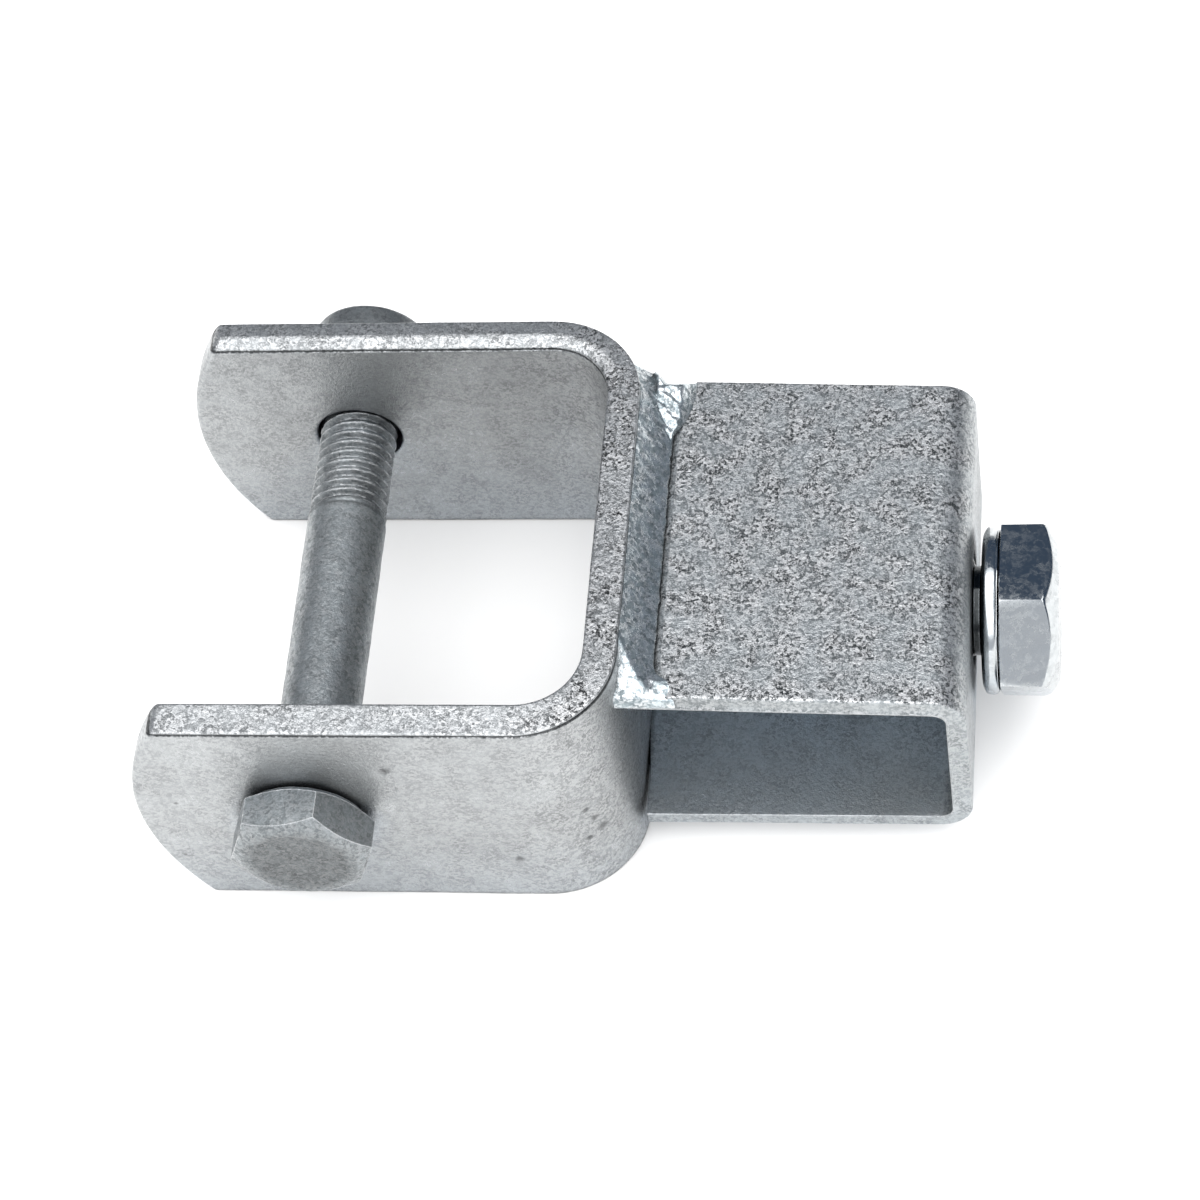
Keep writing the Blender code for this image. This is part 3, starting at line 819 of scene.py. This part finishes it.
def make_channel():
    middle = SHEET_BEND_RADIUS + SHEET / 2
    left = CHANNEL_LOW.x
    bend_x = CHANNEL_HIGH.x - SHEET / 2 - middle
    top_z = top_leg_z(left) - SHEET / 2
    top = (bend_x - left) / math.cos(TOP_LEG_SPLAY) + middle * math.sin(TOP_LEG_SPLAY)
    wall_top = top_leg_z(bend_x) - SHEET / 2 - middle
    wall = wall_top - (CHANNEL_LOW.z + SHEET / 2 + middle)
    first = math.pi / 2 - TOP_LEG_SPLAY
    quarter = math.pi / 2
    moves = [(top, 0), (middle * first, -first), (wall, 0), (middle * quarter, -quarter), (bend_x - left, 0)]
    stations = strip_stations(moves, (left, top_z), -TOP_LEG_SPLAY, 1, 0.6 * MM, 0.15 * MM, 30 * MM)
    near = CHANNEL_LOW.y

    def leg_end(across, along):
        return prep_length(near + along) * smooth_step((across / SHEET + 0.5) * 1.6)

    def burr(share, across, along):
        """Shearing left the near edge's inner side standing a little proud."""
        proud = smooth_step((0.5 - across / SHEET - 0.72) / 0.14)
        return 0.0, (1 - proud) * BURR if along < BURR_REACH else 0.0

    half = len(stations) // 2
    shaped = [s if i < half else s._replace(shift=Vector((0, 0))) for i, s in enumerate(stations)]
    channel = bent_strip(
        "channel_sheet", shaped, SHEET, CHANNEL_HIGH.y - near, SHEET_EDGE_RADII, 90, leg_end,
        lambda x, z, along: (x, near + along, z), sheet_zinc, burr,
    )
    # The bottom leg stops short of the web at its near end, and runs into the weld at its far end.
    for vertex in channel.data.vertices:
        x, y, z = vertex.co
        if z < CHANNEL_LOW.z + 2 * SHEET and x < left + SLIT_REACH:
            open_share = smooth_step((SLIT_START_Y - y) / SLIT_FADE)
            gap = SLIT_FAR + (SLIT_NEAR - SLIT_FAR) * open_share
            vertex.co.x += gap * (1 - (x - left) / SLIT_REACH)
    weather(channel, ((16 * MM, 0.08 * MM), (2.5 * MM, 0.03 * MM)))
    screw_hole = SCREW_THREAD / 2 + 0.3 * MM
    profile = hole_profile(screw_hole, CHANNEL_HIGH.x - SHEET, CHANNEL_HIGH.x, 0.3 * MM)
    cut(channel, turned_cutter("hole", profile, SCREW_AXIS, (1, 0, 0)))
    return channel


# ---------------------------------------------------------------- welds

def weld_solid(name, section_at, low_y, high_y, step, buried, material):
    """A bead along Y: section_at(y) gives its (x, z) line from one toe to the other.

    buried(y) gives the hidden corner that closes the section.
    """
    rows = round((high_y - low_y) / step)
    points = []
    for index in range(rows + 1):
        y = low_y + (high_y - low_y) * index / rows
        hidden_x, hidden_z = buried(y)
        points += [(x, y, z) for x, z in section_at(y)] + [(hidden_x, y, hidden_z)]
    count = len(points) // (rows + 1)
    faces = loft_faces(rows + 1, count)
    faces.append(tuple(range(count)))
    faces.append(tuple(range(len(points) - count, len(points))))
    return mesh_object(name, points, faces, material, 60)


def web_face(y):
    """X of the web's outer face, which curves away past its straight part."""
    radius = FORK_BEND_RADIUS + STRIP_THICKNESS
    past = max(0.0, abs(y) - (FORK_HIGH.y - radius))
    return FORK_HIGH.x - radius + math.sqrt(radius ** 2 - past ** 2)


def make_upper_weld():
    near, far = CHANNEL_LOW.y + 0.1 * MM, CHANNEL_HIGH.y - 0.3 * MM
    plate_z = top_leg_z(CHANNEL_LOW.x + WELD_PREP)

    def closing(y):
        """How far the crevice at the plate's edge has closed near each end of the bead, from 0 to 1."""
        near_end = smooth_step((NEAR_CLOSING_Y - y) / NEAR_CLOSING)
        far_end = smooth_step((y - FAR_CLOSING_Y) / FAR_CLOSING)
        return min(near_end + far_end, 1.0)

    def puddle_height(x, y, grain):
        """The nose's foot: level with the plate, and falling away at the very end."""
        closed = smooth_step((NEAR_CLOSING_Y - y) / NEAR_CLOSING)
        fall = max(0.0, PUDDLE_END_Y - y) * PUDDLE_SLOPE - 1.5 * grain
        return top_leg_z(x) - PLATE_DROP + PUDDLE_RISE * closed - fall

    def lump_height(x, y, edge_x, grain):
        """The lump that climbs towards the far end, with slanted grooves over it."""
        slanted = y + SLASH_SLANT * (x - 5 * MM) + 0.35 * MM * wander((x, y, 3), 1.6 * MM)
        slashes = math.sin(2 * math.pi * slanted / SLASH_PITCH)
        lump = LUMP_Z + LUMP_CLIMB * (y - LUMP_Y) + SLASH_DEPTH * slashes + 2 * grain
        return soft_least(lump, plate_z + (edge_x - x) * LUMP_PLATE_SLOPE, 0.5 * MM)

    def height(x, y, toe_x, edge_x):
        """A flat fillet, with a nose that runs down at its near end and a lump at its far end."""
        crown = STRIP_WIDTH - CROWN_DROP + 0.25 * MM * wander((0, y, 4), 5 * MM)
        across = (x - toe_x) / (CHANNEL_LOW.x + WELD_PREP - toe_x)
        sag = FILLET_SAG * math.sin(math.pi * min(max(across, 0), 1))
        ripple = math.sin(2 * math.pi * (y + RIPPLE_BOW * (2 * across - 1) ** 2) / RIPPLE_PITCH)
        grain = 0.09 * MM * wander((x, y, 0), 1.1 * MM) + 0.05 * MM * wander((x, y, 9), 0.5 * MM)
        fillet = crown + (plate_z - PLATE_DROP - crown) * across - sag + 0.02 * MM * ripple + grain
        nose = crown + 0.1 * MM - (NOSE_Y - y) * NOSE_SLOPE + grain
        surface = soft_least(fillet, nose, 0.7 * MM)
        surface = -soft_least(-surface, -puddle_height(x, y, grain), 0.5 * MM)
        lump = lump_height(x, y, edge_x, grain) if y > LUMP_START_Y else surface
        lump -= LUMP_TOE_SLOPE * max(0.0, LUMP_TOE_X - x)
        surface = max(surface, lump)
        far_end = plate_z - END_DROP + END_SLOPE * (far - y) + END_TOE_SLOPE * max(0.0, END_TOE_X - x)
        surface = soft_least(surface, far_end, 0.5 * MM)
        rounded = min(max(0.0, 1 - (y - near) / END_ROUNDING), 1.0)
        return surface - 0.35 * MM * (1 - math.sqrt(1 - rounded ** 2))

    def section_at(y):
        toe_x = web_face(y) - TOE_INTO_WEB
        crevice = CREVICE * (1 - closing(y))
        edge_x = CHANNEL_LOW.x + prep_length(y) - 0.08 * MM + 0.35 * MM * closing(y)
        shoulder_x = edge_x - crevice
        steps = 40
        line = []
        for index in range(steps + 1):
            x = toe_x + (shoulder_x - toe_x) * index / steps
            line.append((x, height(x, y, toe_x, edge_x)))
        shoulder_z = line[-1][1]
        line.append((shoulder_x + 0.10 * MM, shoulder_z - 0.15 * MM))
        line.append((shoulder_x + 0.16 * MM, max(shoulder_z - 0.5 * MM, WELD_FLOOR_Z + 0.2 * MM)))
        line.append((shoulder_x + 0.16 * MM, WELD_FLOOR_Z + 0.1 * MM))
        line.append((edge_x - 0.3 * MM, WELD_FLOOR_Z))
        return line

    def buried(y):
        return web_face(y) - TOE_INTO_WEB, WELD_FLOOR_Z

    return weld_solid("upper_weld_seam", section_at, near, far, 0.2 * MM, buried, weld_zinc)


def make_lower_weld():
    low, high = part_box("lower_weld_bead")
    near, far = low.y, high.y
    plate_z = CHANNEL_LOW.z
    steps = 14

    def section_at(y):
        full = min(smooth_step((y - near) / (4 * MM)), smooth_step((far - y) / (4 * MM)))
        reach = (high.x - low.x - 0.2 * MM) * (0.3 + 0.7 * full)
        line = []
        for index in range(steps + 1):
            share = index / steps
            ripple = math.sin(2 * math.pi * (y + 1.1 * MM * (2 * share - 1) ** 2) / (1.4 * MM))
            bulge = (0.35 * MM * full + 0.07 * MM * ripple) * math.sin(math.pi * share)
            x = FORK_HIGH.x - 0.1 * MM + reach * share
            z = plate_z - reach * (1 - share) + 0.05 * MM
            line.append((x + bulge * 0.7, z - bulge * 0.7))
        return line

    def buried(y):
        return FORK_HIGH.x - 0.6 * MM, plate_z + 0.6 * MM

    return weld_solid("lower_weld_seam", section_at, near, far, 0.3 * MM, buried, weld_zinc)


# ---------------------------------------------------------------- bolts and nuts

def make_clevis_bolt():
    start = CLEVIS_LENGTH - CLEVIS_THREAD_LENGTH
    washer = NUT_FACE_SHARE * CLEVIS_ACROSS_FLATS / 2
    rings = end_face(HEAD_FACE_SHARE * CLEVIS_ACROSS_FLATS / 2, -CLEVIS_HEAD_HEIGHT, -1)
    rings += chamfered_hexagon(CLEVIS_ACROSS_FLATS, -CLEVIS_HEAD_HEIGHT, 1, HEAD_FACE_SHARE)[1:]
    rings += reversed(chamfered_hexagon(CLEVIS_ACROSS_FLATS, -WASHER_FACE, -1))
    rings += [ring(washer - 0.05 * MM, -0.1 * MM), ring(washer - 0.15 * MM, 0)]
    fillet = 0.6 * MM
    rings += [ring(CLEVIS_SHANK / 2 + fillet, 0), ring(CLEVIS_SHANK / 2, fillet)]
    plain_rings = 70
    for index in range(1, plain_rings):
        rings.append(ring(CLEVIS_SHANK / 2, fillet + (start - fillet) * index / plain_rings))
    rings += thread(start, CLEVIS_LENGTH, CLEVIS_PITCH, CLEVIS_THREAD, CLEVIS_SHANK, clogged=0.28)
    origin = (CLEVIS_AXIS.x, CLEVIS_LOW.y + CLEVIS_HEAD_HEIGHT, CLEVIS_AXIS.z)
    bolt = turned("clevis_hex_bolt", rings, origin, (0, 1, 0), CLEVIS_HEAD_TURN, bolt_zinc)
    weather(bolt, ((4 * MM, 0.10 * MM), (1.3 * MM, 0.09 * MM)))
    return bolt


def hex_nut(name, across_flats, height, bore, origin, direction, turn, material, crown=0.0):
    """A nut with its hexagon chamfered on both sides, and a round locking crown of some height or none."""
    lower = chamfered_hexagon(across_flats, 0, 1)
    upper = chamfered_hexagon(across_flats, height - crown, -1)
    if crown:
        side = NUT_FACE_SHARE * across_flats / 2 - 0.15 * MM
        rounding = 1.1 * MM
        turns = [math.pi / 2 * i / 8 for i in range(9)]
        dome = [
            ring(side - rounding * (1 - math.cos(a)), height - rounding * (1 - math.sin(a))) for a in turns
        ]
        root = ring(side, height - crown + 0.1 * MM)
        upper = list(reversed(dome)) + [root] + upper
    mouth = 0.9 * MM
    inside = [ring(bore / 2 + mouth, height), ring(bore / 2, height - mouth)]
    inside += [ring(bore / 2, mouth), ring(bore / 2 + mouth, 0)]
    rings = lower + list(reversed(upper)) + inside
    return turned(name, rings, origin, direction, turn, material, bored=True)


def make_clevis_nut():
    origin = (CLEVIS_AXIS.x, NUT_LOW.y, CLEVIS_AXIS.z)
    height = NUT_HIGH.y - NUT_LOW.y
    nut = hex_nut(
        "clevis_hex_nut", CLEVIS_ACROSS_FLATS, height, CLEVIS_THREAD + THREAD_PLAY, origin, (0, 1, 0),
        CLEVIS_NUT_TURN, nut_zinc, CLEVIS_NUT_CROWN,
    )
    weather(nut, ((2 * MM, 0.05 * MM),))
    return nut


def make_clamp_screw():
    """The head's hexagon, a waist and a round collar under it, a thin neck and the thread."""
    outline = hexagon(SCREW_ACROSS_FLATS, 0.7 * MM)
    top = -SCREW_COLLAR_HEIGHT
    collar = SCREW_COLLAR / 2
    bulge, bulge_half_height = 0.35 * MM, 0.9 * MM
    rings = end_face(HEAD_FACE_SHARE * SCREW_ACROSS_FLATS / 2, -SCREW_HEAD_HEIGHT, -1)
    rings += chamfered_hexagon(SCREW_ACROSS_FLATS, -SCREW_HEAD_HEIGHT, 1, HEAD_FACE_SHARE, 0.4 * MM)[1:]
    for height in (top - 0.7 * MM, top - 0.3 * MM):
        rings.append(np.column_stack([outline, np.full(ROUND, height)]))
    rings.append(np.column_stack([np.minimum(outline, collar) - 0.15 * MM, np.full(ROUND, top - 0.1 * MM)]))
    rings += [ring(collar - 0.75 * MM, top + 0.02 * MM), ring(collar - bulge, top + 0.12 * MM)]
    quarter_steps = 6
    for index in range(2 * quarter_steps + 1):
        angle = math.pi / 2 * (index / quarter_steps - 1)
        along = top + 1.1 * MM + bulge_half_height * math.sin(angle)
        rings.append(ring(collar - bulge * (1 - math.cos(angle)), along))
    rings += [ring(collar - 0.9 * MM, -0.1 * MM), ring(collar - 1.2 * MM, 0)]
    neck = SCREW_THREAD / 2 - 1.4 * MM
    neck_fillet, neck_end, thread_start = 0.4 * MM, 1.2 * MM, 1.6 * MM
    rings += [ring(neck + neck_fillet, 0), ring(neck, neck_fillet), ring(neck, neck_end)]
    rings += thread(thread_start, SCREW_LENGTH, SCREW_PITCH, SCREW_THREAD)
    origin = (SCREW_HIGH.x - SCREW_HEAD_HEIGHT, SCREW_AXIS.y, SCREW_AXIS.z)
    screw = turned("clamp_hex_screw", rings, origin, (-1, 0, 0), SCREW_HEAD_TURN, screw_zinc)
    weather(screw, ((3 * MM, 0.012 * MM),))
    return screw


def make_clamp_nut():
    origin = (INNER_NUT_HIGH.x, SCREW_AXIS.y, SCREW_AXIS.z)
    across_flats = INNER_NUT_HIGH.z - INNER_NUT_LOW.z
    return hex_nut(
        "clamp_weld_nut", across_flats, INNER_NUT_HIGH.x - INNER_NUT_LOW.x, SCREW_THREAD + THREAD_PLAY,
        origin, (-1, 0, 0), 0, nut_zinc,
    )


PIECES = (
    (make_fork, "bracket", "fork_bracket", "galvanised_strip"),
    (make_channel, "bracket", "clamp_channel", "galvanised_sheet"),
    (make_upper_weld, "bracket", "upper_weld_bead", "weld_metal"),
    (make_lower_weld, "bracket", "lower_weld_bead", "weld_metal"),
    (make_clevis_bolt, "clevis_bolt", "clevis_bolt", "plated_bolt"),
    (make_clevis_nut, "clevis_nut", "clevis_nut", "plated_bolt"),
    (make_clamp_screw, "clamp_screw", "clamp_screw", "bright_zinc"),
    (make_clamp_nut, "bracket", "clamp_nut", "plated_bolt"),
)
for make, body, node, slot in PIECES:
    piece = make()
    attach(piece, body)
    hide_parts(node)


# ---------------------------------------------------------------- floor, light and camera

def make_floor():
    half = 6.0
    material = bpy.data.materials.new("white floor")
    material.use_nodes = True
    shader = material.node_tree.nodes["Principled BSDF"]
    shader.inputs["Base Color"].default_value = (0.58, 0.58, 0.58, 1)
    shader.inputs["Roughness"].default_value = 0.9
    corners = [(-half, -half, 0), (half, -half, 0), (half, half, 0), (-half, half, 0)]
    floor = mesh_object("floor", corners, [(0, 1, 2, 3)], material)


def area_light(name, place, target, width, height, radiance):
    """A soft panel facing target, as bright to look at as radiance."""
    light = bpy.data.lights.new(name, "AREA")
    light.shape = "RECTANGLE"
    light.size = width
    light.size_y = height
    light.energy = radiance * math.pi * width * height
    lamp = bpy.data.objects.new(name, light)
    lamp.location = place
    lamp.rotation_euler = (Vector(place) - Vector(target)).to_track_quat("Z", "Y").to_euler()
    bpy.context.scene.collection.objects.link(lamp)


def make_world():
    """Dark surroundings for the metal to reflect, pale where the camera or matt surfaces see them."""
    world = bpy.data.worlds.new("studio")
    bpy.context.scene.world = world
    world.use_nodes = True
    tree = world.node_tree
    dark = tree.nodes["Background"]
    dark.inputs["Color"].default_value = (0.072, 0.105, 0.16, 1)
    pale = add_node(tree, "ShaderNodeBackground", {"Color": (1.9, 1.9, 1.9, 1)})
    rays = add_node(tree, "ShaderNodeLightPath").outputs
    plain = calculate(tree, "MAXIMUM", rays["Is Camera Ray"], rays["Is Diffuse Ray"])
    mixed = add_node(tree, "ShaderNodeMixShader", {0: plain, 1: dark.outputs[0], 2: pale.outputs[0]})
    tree.links.new(mixed.outputs[0], tree.nodes["World Output"].inputs["Surface"])


def make_camera():
    data = bpy.data.cameras.new("camera")
    data.lens = 115.08
    data.sensor_width = 36
    data.clip_start = 0.01
    camera = bpy.data.objects.new("camera", data)
    bpy.context.scene.collection.objects.link(camera)
    place = (75.84 * MM, -308.76 * MM, 486.76 * MM)
    azimuth, elevation, roll = math.radians(14.518), math.radians(55.417), math.radians(-12.021)
    level = math.cos(elevation)
    back = Vector((math.sin(azimuth) * level, -math.cos(azimuth) * level, math.sin(elevation)))
    aim = back.to_track_quat("Z", "Y").to_matrix().to_4x4() @ Matrix.Rotation(roll, 4, "Z")
    camera.matrix_world = Matrix.Translation(place) @ aim
    bpy.context.scene.camera = camera


make_floor()
make_world()
area_light("front panel", (0.0, -1.8, 1.55), (0, 0, 0), width=4.0, height=1.7, radiance=2.7)
area_light("low front panel", (0.0, -2.3, 0.45), (0, 0, 0.45), width=4.5, height=0.9, radiance=0.70)
area_light("top panel", (-0.3, -0.15, 2.2), (-0.3, -0.15, 0), width=3.6, height=2.3, radiance=3.1)
make_camera()
bpy.context.scene.view_settings.view_transform = "Standard"
